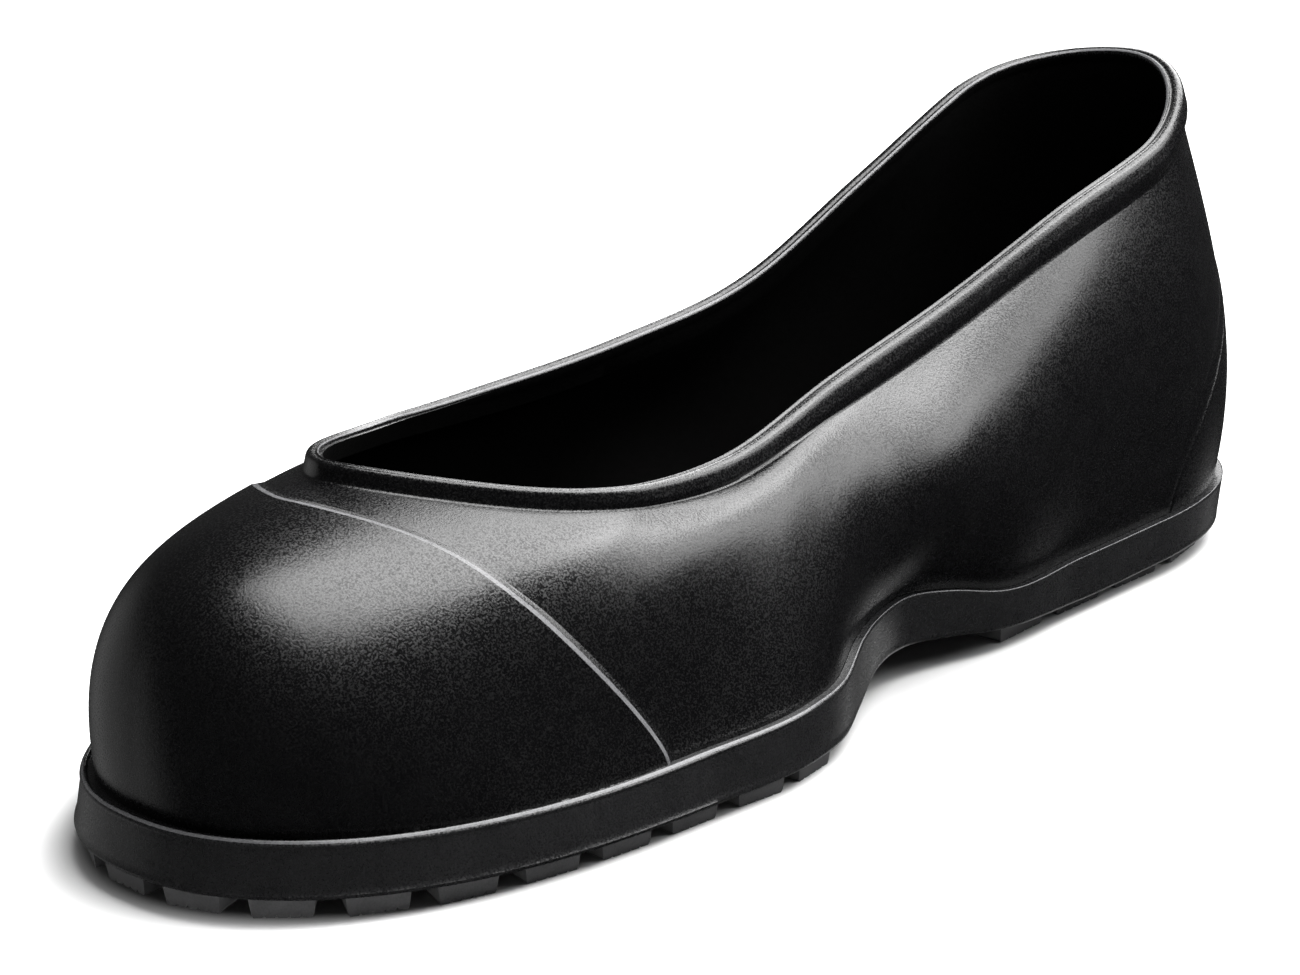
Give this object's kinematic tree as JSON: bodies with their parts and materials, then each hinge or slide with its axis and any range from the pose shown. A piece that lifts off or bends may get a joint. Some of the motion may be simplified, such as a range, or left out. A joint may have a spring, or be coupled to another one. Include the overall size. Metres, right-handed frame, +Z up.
{
  "type": "overshoe",
  "caption": "Low black rubber overshoe for the right foot with a rounded toe cap, rolled collar bead, heel counter and lugged cup sole, worn over a shoe to keep it clean and dry.",
  "frame": {"origin": "on the floor under the middle of the whole shoe", "axes": "+X to the toe, +Y to the inner side of the foot, +Z up"},
  "size_m": [0.32, 0.1208, 0.1137],
  "materials": {
    "outsole_rubber": "matt moulded black rubber",
    "upper_rubber": "satin black rubber with a fine grain",
    "toe_cap_rubber": "satin black rubber with a fine grain",
    "heel_counter_rubber": "satin black rubber with a fine grain",
    "collar_bead_rubber": "smooth satin black rubber"
  },
  "bodies": {
    "root": {"outsole": "outsole_rubber", "upper": "upper_rubber", "toe_cap": "toe_cap_rubber", "heel_counter": "heel_counter_rubber", "collar_bead": "collar_bead_rubber"}
  },
  "joints": []
}
